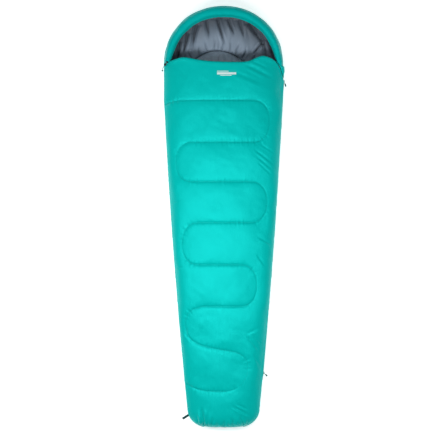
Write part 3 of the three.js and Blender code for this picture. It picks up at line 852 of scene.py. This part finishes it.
def back_section(rows):
    """Grid of the back's outer surface, from the zip round under the bag to the left seam."""
    y, half, rise, drop = (r[:, None] for r in rows)
    shoulder = shoulder_share(y)
    start = np.arccos(np.clip(((gap_x(y) + 1) / half) ** (1 / SECTION_EASE), 0, 1)) * shoulder
    part = np.linspace(0, 1, 260)[None]
    up = start * (1 - part)
    bulge = 10 * bell(y - 748, 34) * shoulder * np.sin(np.pi * part) ** 0.7
    dome_x = half * power(np.cos(up), SECTION_EASE) + bulge
    dome_z = SIDE_Z + rise * power(np.sin(up), SECTION_EASE)
    corner = np.minimum(UNDER_CORNER, 0.7 * half)
    turn = np.linspace(0, np.pi / 2, 120)[None]
    right_x, right_z = half - corner + corner * np.cos(turn), SIDE_Z - drop * np.sin(turn)
    right_z = right_z - ZIP_GAP * zip_share(y) * (1 - shoulder) * (1 - np.sin(turn)) ** 3
    flat = np.linspace(1, -1, 60)[None, 1:-1] * (half - corner)
    back_turn = turn[:, ::-1]
    left_x = -(half - corner + corner * np.cos(back_turn))
    left_z = SIDE_Z - drop * np.sin(back_turn) - SEAM_GAP * (1 - np.sin(back_turn)) ** 3
    x = np.concatenate([dome_x, right_x[:, 1:], flat, left_x], axis=1)
    z = np.concatenate([dome_z, right_z[:, 1:], flat * 0 + SIDE_Z - drop, left_z], axis=1)
    right = x > 0
    fade = np.where(right, 1 - shoulder, 1)
    x = mix(x, side_shape(x, z, half, *seam_line(y, half, right, -1), 0.5), fade * (z > 2))
    cols = even_columns(np.stack([x, z], axis=-1), 190)
    x, z = cols[..., 0], cols[..., 1]
    lift = smooth((rows[0] - BACK_LIFT_Y) / (BACK_EDGE_Y - BACK_LIFT_Y))[:, None]
    reach = neck_seam(x) - 7 * smooth((np.abs(x) - 200) / 106)
    y = rows[0][:, None] + (reach - BACK_EDGE_Y) * lift * smooth((44 - z) / 20)
    return np.stack([x, y, z], axis=-1)


NECK_TUCKS = [  # start at the neck seam, end, depth, width
    ((-150, 800), (-185, 690), 8, 5), ((-104, 830), (-122, 700), 8, 4), ((-62, 850), (-64, 720), 7, 4),
    ((-26, 856), (-20, 730), 6, 3), ((10, 852), (18, 720), 7, 4), ((44, 842), (56, 720), 6, 4),
    ((84, 820), (104, 700), 9, 5), ((126, 800), (156, 690), 9, 5), ((188, 782), (204, 700), 8, 6),
]


def make_back():
    base = back_section(body_rows(BACK_EDGE_Y))
    normal = sheet_normals(base, -1)
    x, y, z = base[..., 0], base[..., 1], base[..., 2]
    borders = right, left, foot, neck = to_borders(base)
    edge = np.minimum.reduce(borders)
    ripple = np.cos(y * 2 * np.pi / 31 + 2 * waves(31, 8, 90, 300)(x, y))
    ripple = 0.7 * ripple * bell(np.minimum(left, right) - 16, 12)
    relief = smooth((z - 8) / 20) * (1.2 * waves(32, 24, 50, 260)(x, y) + ripple) * smooth(edge / 24)
    drop = pinch_borders(borders, (10, 12, 12, 8), (mix(3, 12, shoulder_share(y)), 4, 5, 7))
    outer = base + normal * (relief - drop * smooth((z - 1) / 24))[..., None]
    outer[..., 2] = np.maximum(outer[..., 2], 0)
    close = pinch_borders(borders, (CLOSE, CLOSE, CLOSE, 9))
    lies = z < 30  # the part on the floor, whose lining shows in the hood's opening
    soft = 2.2 * waves(41, 26, 50, 200)(x, y) + 1.4 * waves(42, 26, 22, 70)(x * 1.6, y * 0.5)
    for crease in NECK_TUCKS:
        soft = soft + tuck(x, y, *crease) * lies
    soft = soft + 34 * bell(y - 785, 66) * bell(x + 20, 190) * lies
    thick = WALL + soft * smooth(edge / 30)
    inner = inner_side(base, outer, normal, mix(thick, drop, close))
    # painted shade beside the side seams and along the neck seam; under paints the lit back lining darker
    # again away from the neck
    shade = 0.3 * np.maximum(pinch(left, 7), pinch(right, 7)) + 0.3 * pinch(neck, 5)
    piece = pillow("back_quilt", outer, inner, cloth_uv(right, foot), [shell_cloth, lit_back_lining_cloth], shade,
                   under=0.3 * smooth((770 - y) / 110))
    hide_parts("back_shell", "back_insulation", "back_lining")
    return piece, outer, normal


# ---- hood ----
CREST_SIDE, CREST_HEAD = 120.0, 162.0
HOOD_ROWS, HOOD_COLS = 300, 300
HOOD_SPLIT = int(0.62 * HOOD_COLS)  # columns on the outer side; the lining has the rest
CHANNEL = 8  # columns between the inner rim and the drawcord channel's stitching


def hood_frame(angle):
    """Outer point, inward direction, floor length, rim width and crest height at an angle of the hood."""
    out = np.array([CHEST_HALF * power(np.cos(angle), HOOD_EASE),
                    HOOD_CENTRE_Y + CHEST_HALF * power(np.sin(angle), HOOD_EASE)])
    x = 200 * np.cos(angle)
    run = np.array([x, neck_seam(x)]) - out
    size = np.hypot(*run)
    rim = 62 - 34 * (1 - abs(np.sin(angle))) ** 3
    crest = mix(CREST_SIDE, CREST_HEAD, abs(np.sin(angle)) ** 1.4)
    return out, run / size, size, rim, crest


def hood_profile(size, rim, crest):
    """Closed section of the hood's padded wall: distance inwards from the outermost point, and height."""
    halfway = mix(92, size, 0.5)
    outer = [(size, 0.5), (halfway, 0.3), (92, 0.3), (44, 4), (12, 24), (0, 64), (0.07 * rim, crest - 30),
             (0.2 * rim, crest - 10), (0.42 * rim, crest), (0.75 * rim, crest - 3),
             (0.96 * rim, crest - 14), (rim, crest - 24)]
    inner = [(0.93 * rim, crest - 34), (max(0.66 * rim, 28), crest - 42),
             (max(0.5 * rim, 29), 0.5 * (crest + 14)), (38, 44), (74, 30), (halfway, 28), (size, WALL)]
    return outer, inner


def hood_grid(angles):
    """The hood's padded wall, a closed section at each angle: the outer side first, then the lining."""
    rings = []
    for angle in angles:
        out, inward, size, rim, crest = hood_frame(angle)
        outer, inner = hood_profile(size, rim, crest)
        lining = spline([outer[-1], *inner], HOOD_COLS - HOOD_SPLIT + 1)[1:]
        section = np.concatenate([spline(outer, HOOD_SPLIT), lining])
        rings.append(np.column_stack([out + section[:, :1] * inward, section[:, 1]]))
    return np.array(rings)


HOOD_TUCKS = [  # start under the rim, end, depth, width and bend of the creases in the hood's lining
    ((-36, 1022), (10, 862), 17, 4.5, 0.10), ((22, 1020), (58, 915), 13, 4.5, 0.1),
    ((78, 1014), (106, 905), 13, 5, 0.1), ((128, 1002), (204, 868), 22, 7, 0.18),
    ((-84, 1014), (-70, 900), 10, 7, -0.1), ((-136, 990), (-160, 850), 14, 6, -0.1),
    ((-182, 950), (-206, 800), 17, 6, -0.12),
    ((-222, 905), (-236, 790), 18, 6, -0.1), ((186, 950), (226, 800), 15, 6, 0.15),
    ((228, 915), (258, 790), 22, 6, 0.12), ((205, 898), (140, 822), 14, 5, -0.15),
]
SEAM_TUCKS = [  # start at the neck seam, end towards the head, depth, width
    ((-120, 822), (-138, 900), 7, 4), ((-84, 840), (-96, 930), 6, 4), ((-44, 855), (-44, 940), 6, 4),
    ((-6, 856), (2, 920), 6, 3), ((28, 850), (44, 930), 7, 4), ((62, 834), (84, 915), 7, 4),
    ((96, 815), (126, 880), 9, 4), ((-160, 800), (-186, 870), 8, 5), ((150, 800), (178, 860), 7, 5),
]


def make_hood():
    angles = np.linspace(0, np.pi, HOOD_ROWS)
    base = hood_grid(angles)
    normal = grid_normals(base)
    mid, wall = HOOD_ROWS // 2, slice(HOOD_SPLIT // 3, HOOD_SPLIT // 2)
    normal = normal * np.sign((normal[mid, wall] * (base[mid, wall] - base[mid].mean(0))).sum())
    x, y, z = base[..., 0], base[..., 1], base[..., 2]
    upward = lengths(base, 0)
    ends = np.minimum(upward, upward[-1:] - upward)
    col = np.arange(HOOD_COLS)[None]
    outside, into_lining, to_stitches = col < HOOD_SPLIT, col - HOOD_SPLIT, col - (HOOD_SPLIT - CHANNEL)
    # outer side: slow unevenness, puckers and the groove along the channel's stitching
    along = CHEST_HALF * angles[:, None]
    wander = waves(61, 8, 60, 260)(along, 0 * along)
    lively = 0.5 + 0.5 * waves(63, 6, 90, 300)(along, 0 * along)
    pucker = 0.7 * (np.cos(along * 2 * np.pi / 29 + 4 * wander) * lively) * bell(to_stitches, 14)
    raised = smooth((z - 12) / 25)
    shell = raised * (1.1 * waves(62, 24, 50, 220)(x + 2 * z, y) + pucker)
    shell = shell - 1.8 * bell(to_stitches, 1.6) * raised
    # lining: creases under the rim and at the neck seam
    tucks = sum(tuck(x, y, *crease) for crease in HOOD_TUCKS + SEAM_TUCKS)
    near_neck = smooth((HOOD_COLS - col) / 6)
    tucks = tucks * smooth((into_lining - 6) / 30) * near_neck
    uneven = 4.0 * waves(51, 30, 70, 210)(1.2 * x, 0.6 * y) + 0.5 * waves(52, 30, 22, 60)(1.6 * x, 0.4 * y)
    floor = tucks + uneven * smooth((into_lining - 6) / 34) * near_neck
    relief = np.where(outside, shell, floor) * smooth(ends / 20)
    points = base + normal * (relief - 5 * pinch(ends, 8) * smooth((z - 1) / 24))[..., None]
    neck = pinch((HOOD_COLS - 1 - col) * 2.4, 13)
    height = points[..., 2] - 14 * neck * ~outside
    lock = np.hypot(points[..., 0] - LOCK_X, points[..., 1] - LOCK_Y)
    height = height - 11 * smooth((26 - lock) / 16) * smooth((height - 80) / 25)  # dent under the lock
    points[..., 2] = np.maximum(height, 0)
    # painted shade on the lining: a little all over, deep under the rim, at the neck seam and in the
    # creases; and painted shade in the groove along the channel's stitching
    under_rim = smooth((92 - into_lining) / 44)
    inside_shade = 0.16 + 0.8 * under_rim + 0.6 * neck + np.clip(-tucks / 11 - 0.12, 0, 0.7)
    shade = np.minimum(inside_shade * ~outside + 0.25 * bell(to_stitches, 1.5) * raised, 1)
    lined = np.tile(np.arange(HOOD_COLS) >= HOOD_SPLIT + 3, (HOOD_ROWS - 1, 1))
    piece = ring_mesh("hood_quilt", points, [shaded_hood_cloth, lining_cloth], slots=lined.ravel().astype(int),
                      uv=cloth_uv(along, lengths(points, 1)), shade=shade)
    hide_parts("hood_shell", "hood_insulation", "hood_lining", "hood_hem", "drawcord_in_hem")
    stitched = HOOD_SPLIT - CHANNEL
    return piece, points[:, stitched], normal[:, stitched]


# ---- foot panel ----
def make_foot():
    """An oval panel that bulges towards the foot end, with its rim turned in behind the gathers."""
    half = FOOT_HALF - FOOT_CORNER - 3
    rise = (FOOT_HEIGHT - SIDE_Z) * (1 - FOOT_RISE_LOST) - 3
    drop = SIDE_Z * (1 - FOOT_DROP_LOST) - 3
    turn = full_turn(160)
    x = half * power(np.cos(turn), 0.8)
    z = np.where(np.sin(turn) > 0, rise, drop) * power(np.sin(turn), 0.8)
    rings = []
    for s in (0.03, 0.12, 0.24, 0.36, 0.48, 0.6, 0.7, 0.79, 0.86, 0.92, 0.96, 1.0):
        bulge = 6 * math.sqrt(1 - s**2) + 0.9 * np.sin(13 * turn + np.sin(5 * turn)) * bell(s - 0.85, 0.2)
        rings.append(np.stack([s * x, FOOT_Y + 2 - bulge, SIDE_Z + s * z], axis=-1))
    for s, deep in ((1.05, 5), (1.08, 9), (0.95, 16), (0.6, 18), (0.03, 18)):
        rings.append(np.stack([s * x, np.full_like(x, FOOT_Y + deep), SIDE_Z + s * z], axis=-1))
    rings = np.array(rings)
    piece = ring_mesh("foot_panel", rings, [shell_cloth], uv=rings[..., [0, 2]] * MM)
    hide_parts("foot_shell", "foot_insulation", "foot_lining")
    return piece


# ---- piping ----
def make_piping(name, side, top_y):
    """A covered cord sewn into the seam between the front and the back, from the foot up to top_y."""
    y, half, _, _ = body_rows(top_y)
    path = np.stack([side * (half - 6.2), y, np.full_like(y, SIDE_Z + SEAM_GAP)], axis=-1)[2:]
    along = path_lengths(path)
    radius = 3.1 * round_ends(np.minimum(along + 0.2, along[-1] + 0.2 - along), 3)
    uv = cloth_uv(np.linspace(0, 12, 12), along[:, None])
    return ring_mesh(name, tube_rings(path, radius, 12), [shell_cloth], uv=uv)


# ---- zip ----
ZIP_DOWN = unit(ZIP_END - ZIP_TOP)
ZIP_OUT = np.array([-ZIP_DOWN[1], ZIP_DOWN[0]])


def zip_place(out, down, up):
    """Points in the zip's own frame: out from the tape, down the zip from its top, above its middle."""
    out, down, up = np.broadcast_arrays(np.asarray(out, float), down, up)
    plan = ZIP_TOP + out[..., None] * ZIP_OUT + down[..., None] * ZIP_DOWN
    return np.concatenate([plan, SIDE_Z + up[..., None]], axis=-1)


def make_tape(name, node, start, end, side):
    """Woven tape with a rib where the coil is sewn on. across and out go once round its section."""
    stations = np.linspace(start, end, 420)
    across = np.array([11.6, 11.6, 8.0, 6.2, 5.2, 4.2, 2.4, 1.7, 1.7, 2.4, 4.2, 5.2, 6.2, 8.0])
    out = np.array([-0.8, -0.3, -0.25, 0.05, 0.15, -0.1, -0.15, -0.3, -0.8, -0.9, -0.9, -0.9, -0.9, -0.85])
    wave = 0.12 * np.sin(stations[:, None] / 9 + side) * (across > 7)
    rings = zip_place(out[None] + wave, stations[:, None], side * across[None])
    piece = ring_mesh(name, rings, [tape_cloth], uv=cloth_uv(across[None], stations[:, None]))
    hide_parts(node)
    return piece


TOOTH = np.array([(0.75, 2.7), (1.3, 2.85), (1.9, 2.7), (2.15, 2.0), (2.1, 1.25), (1.5, 0.95), (0.95, 1.1),
                  (0.8, 1.7)])  # one coil loop, outwards and upwards
TOOTH_PITCH, TOOTH_RADIUS = 2.2, 0.42


def make_coil(name, node, start, end, side):
    """A row of moulded coil loops; the two rows sit half a pitch apart so that they mesh."""
    places = np.arange(start, end, TOOTH_PITCH) + (0 if side > 0 else TOOTH_PITCH / 2)
    path = zip_place(TOOTH[:, 0], 0.0, side * TOOTH[:, 1])
    loop = tube_rings(path, TOOTH_RADIUS, 5)
    points = (loop.reshape(1, -1, 3) + places[:, None, None] * np.append(ZIP_DOWN, 0)).reshape(-1, 3)
    quads = grid_faces(grid_index(*loop.shape[:2], closed=True))
    first = loop.shape[0] * loop.shape[1] * np.arange(len(places))
    faces = (quads[None] + first[:, None, None]).reshape(-1, 4)
    piece = make_object(name, points, faces, [coil_nylon])
    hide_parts(node)
    return piece


def make_spring():
    """The cord lock's coil spring at rest; the real one shortens as the button goes down, which this mesh
    does not.
    """
    low, high, turns, coil, wire, press = 114.2, 119.3, 3.5, 2.6, 0.3, 3.2
    angle = np.linspace(0, 2 * np.pi * turns, 120)
    path = np.column_stack([LOCK_X + coil * np.cos(angle), LOCK_Y + coil * np.sin(angle),
                            np.linspace(low, high, 120)])
    piece = ring_mesh("lock_spring", tube_rings(path, wire, 8), [spring_wire])
    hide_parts("cord_lock_spring")
    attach(piece, "cord_lock")
    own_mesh(piece)
    return piece


def make_draft_tube():
    """The padded roll that lies inside the bag along the zip."""
    start, end, radius = -16, 1484, 7.2
    stations = np.linspace(start + 2, end - 2, 300)
    full = radius + 0.5 * waves(71, 10, 60, 240)(stations, 0 * stations)
    full = full * round_ends(np.minimum(stations - start, end - stations), 8)
    rings = tube_rings(zip_place(-38.0, stations, 0.0), full, 20)
    uv = cloth_uv(full_turn(20) * radius, stations[:, None])
    piece = ring_mesh("draft_tube_pad", rings, [lining_cloth], uv=uv)
    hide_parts("draft_tube")
    return piece


def make_grip(name, hinge, node, full):
    """A ribbed rubber grip over a slider's pull, thin towards the zip; full is its depth at the tip."""
    begin, past_tip, half_width, root, thin = 0.42, 4, 5.4, 4.2, 2.3
    low, high = (np.array(v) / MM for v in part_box(node))
    tip = np.array([high[0] - 1.2, low[1] + 1.0, SIDE_Z])
    run, size = unit(tip - hinge), np.linalg.norm(tip - hinge)
    at = np.linspace(begin * size, size + past_tip, 26)
    t = np.linspace(0, 1, 26)
    body = np.sqrt(np.maximum(0.02, 1 - np.abs(2 * t - 1) ** 5))
    ribbed = body * (1 - 0.1 * (np.sin(t * 2 * np.pi * 6) > 0.2))
    turn = full_turn(20)
    side = np.cross((0, 0, 1), run)  # points away from the zip
    reach = np.where(np.cos(turn) > 0, mix(root, full, t[:, None]), thin)
    rings = (hinge + at[:, None, None] * run
             + (ribbed[:, None] * reach * power(np.cos(turn), 0.7))[..., None] * side
             + (half_width * body[:, None] * power(np.sin(turn), 0.7))[..., None] * np.array((0, 0, 1)))
    return ring_mesh(name, rings, [grip_rubber])


# ---- stitches, loop and print ----
def stitch_rows(name, rows, pitch=3.8, long=2.7, radius=0.34):
    """Short raised threads along each row of (points, normals)."""
    points, faces = [], []
    for path, normal in rows:
        along = path_lengths(path)
        at = np.arange(pitch, along[-1] - pitch, pitch)[:, None] + long * np.array([-0.5, -0.3, 0.3, 0.5])
        place, up = (np.stack([np.interp(at, along, v[:, k]) for k in range(3)], axis=-1)
                     for v in (path, normal))
        up = unit(up)
        run = unit(place[:, -1:] - place[:, :1])
        side = unit(np.cross(run, up))
        middle = place + up * np.array([-0.5, 0.25, 0.25, -0.5])[None, :, None]
        corner = np.stack([middle + radius * side, middle + radius * up, middle - radius * side,
                           middle - radius * up], axis=2)
        start = sum(len(p) for p in points)
        points.append(corner.reshape(-1, 3))
        one = [[4 * i + j, 4 * i + (j + 1) % 4, 4 * i + 4 + (j + 1) % 4, 4 * i + 4 + j] for i in range(3)
               for j in range(4)] + [[3, 2, 1, 0], [12, 13, 14, 15]]
        faces.append((np.array(one)[None] + 16 * np.arange(len(at))[:, None, None] + start).reshape(-1, 4))
    return make_object(name, np.concatenate(points), np.concatenate(faces), [thread_cloth])


def on_surface(tree, plan, above):
    """Points of a plan path dropped onto the front, raised by above, and the normals there."""
    places, normals = [], []
    for a, b in plan:
        hit, n, _, _ = tree.ray_cast(Vector((a, b, 400)), Vector((0, 0, -1)))
        if hit is not None:
            places.append(hit + above * n)
            normals.append(n)
    return np.array(places), np.array(normals)


def make_loop():
    """A folded length of webbing held in the seam at the foot."""
    root = np.array([-180.5, -1014.5, 68.0])
    away = unit(np.array([-34.0, -21.0, 0.0]))
    reach, half, thick = 31.0, 6.0, 0.7
    side = np.array([-away[1], away[0], 0.0])
    t = np.linspace(0, 1, 60)
    along = -3 + (reach + 6) * np.sin(np.pi * t) ** 0.55
    high = 3.3 * np.cos(np.pi * t) * (0.35 + 0.65 * np.sin(np.pi * t))
    path = root + along[:, None] * away + high[:, None] * np.array((0, 0, 1.0))
    tangent = unit(np.gradient(path, axis=0))
    face = unit(np.cross(tangent, side))
    across = np.array([-1, -0.93, -0.6, 0, 0.6, 0.93, 1, 0.93, 0.6, 0, -0.6, -0.93])
    deep = np.array([0, 0.8, 1, 0.8, 1, 0.8, 0, -0.8, -1, -0.8, -1, -0.8])
    across, deep = half * across[None, :, None], thick * deep[None, :, None]
    rings = path[:, None] + across * side + deep * face[:, None]
    uv = cloth_uv(across[..., 0], path_lengths(path)[:, None])
    piece = ring_mesh("foot_loop", rings, [webbing_cloth], uv=uv)
    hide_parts("foot_hang_loop")
    return piece


def make_print(tree):
    """A thin patch of printed cloth on the front, with its edges let into the quilt."""
    low, high = (np.array(v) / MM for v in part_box("chest_patch"))
    x, y = np.linspace(low[0], high[0], 60), np.linspace(low[1], high[1], 26)
    plan = np.stack(np.meshgrid(x, y), axis=-1)
    flat = plan.reshape(-1, 2)
    inset = np.minimum(flat - low[:2], high[:2] - flat).min(axis=1)
    top, normal = on_surface(tree, flat, 0)
    under = top - 0.6 * normal
    top = top + (0.35 * smooth(inset / 2.5) - 0.25)[:, None] * normal
    shape = (*plan.shape[:2], 3)
    uv = (plan - low[:2]) * MM
    piece = pillow("chest_print", top.reshape(shape), under.reshape(shape), uv, [print_cloth, print_cloth],
                   np.zeros(shape[:2]))
    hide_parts("chest_patch")
    return piece


# ---- assembly ----
front, front_grid, front_normal = make_front()
back, back_grid, back_normal = make_back()
hood, rim_path, rim_normal = make_hood()
foot = make_foot()
piping_left = make_piping("side_piping_left", -1, 764)
piping_right = make_piping("side_piping_right", 1, -818)

surface = grid_faces(grid_index(*front_grid.shape[:2]))
front_tree = BVHTree.FromPolygons(front_grid.reshape(-1, 3).tolist(), surface.tolist())
HEM_ROW, TOPSTITCH = -10, 7
front_stitches = stitch_rows("front_stitching", [
    on_surface(front_tree, QUILT[10:-10], 0.1),
    (front_grid[HEM_ROW, 12:-12], front_normal[HEM_ROW, 12:-12]),
    (front_grid[60:-20, TOPSTITCH], front_normal[60:-20, TOPSTITCH]),
])
bag_stitches = stitch_rows("bag_stitching", [
    (rim_path[12:-12], rim_normal[12:-12]),
    (back_grid[60:-24, TOPSTITCH], back_normal[60:-24, TOPSTITCH]),
])
chest_print = make_print(front_tree)
loop = make_loop()
# tapes and coils start and end at stations down the zip, in millimetres
bag_tape = make_tape("tape_bag_side", "zip_tape_bag_side", -11, 1509.5, -1)
flap_tape = make_tape("tape_flap_side", "zip_tape_flap_side", 16, 1477.5, 1)
bag_coil = make_coil("coil_bag_side", "zip_coil_bag_side", -6, 1505, -1)
flap_coil = make_coil("coil_flap_side", "zip_coil_flap_side", 20, 1476, 1)
draft = make_draft_tube()
spring = make_spring()
UPPER_HINGE, LOWER_HINGE = np.array([310.2, 694.6, SIDE_Z]), np.array([208.2, -797.4, SIDE_Z])
upper_grip = make_grip("upper_pull_grip", UPPER_HINGE, "upper_pull_tab", 5.4)
lower_grip = make_grip("lower_pull_grip", LOWER_HINGE, "lower_pull_tab", 6.6)

fold_joint = next(j for j in frame["joints"] if j["name"] == "front_fold")
axis = Vector(fold_joint["axis"]).normalized()
FOLD_WIDTH, FOLD_RISE = 0.09, math.radians(30)  # a bend's width and lean along the fold; nothing below bends the front with them
across_fold = Vector((-axis.y, axis.x, 0)).normalized() * math.cos(FOLD_RISE)
across_fold = across_fold + Vector((0, 0, math.sin(FOLD_RISE)))

for piece in (back, hood, foot, piping_left, piping_right, bag_stitches, loop, bag_tape, bag_coil, draft):
    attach(piece, "bag")
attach(upper_grip, "upper_pull")
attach(lower_grip, "lower_pull")
for piece in (front, front_stitches, chest_print, flap_tape, flap_coil):
    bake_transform(piece)


METAL_NODES = ("upper_slider", "upper_pull_tab", "lower_slider", "lower_pull_tab", "zip_bottom_stop",
               "zip_top_stop_bag_side", "zip_top_stop_flap_side", "hem_eyelet")
for material, names in ((zip_metal, METAL_NODES), (hard_plastic, ("cord_lock_barrel", "cord_lock_button"))):
    for name in names:
        for s in frame["nodes"][name].material_slots:
            s.material = material
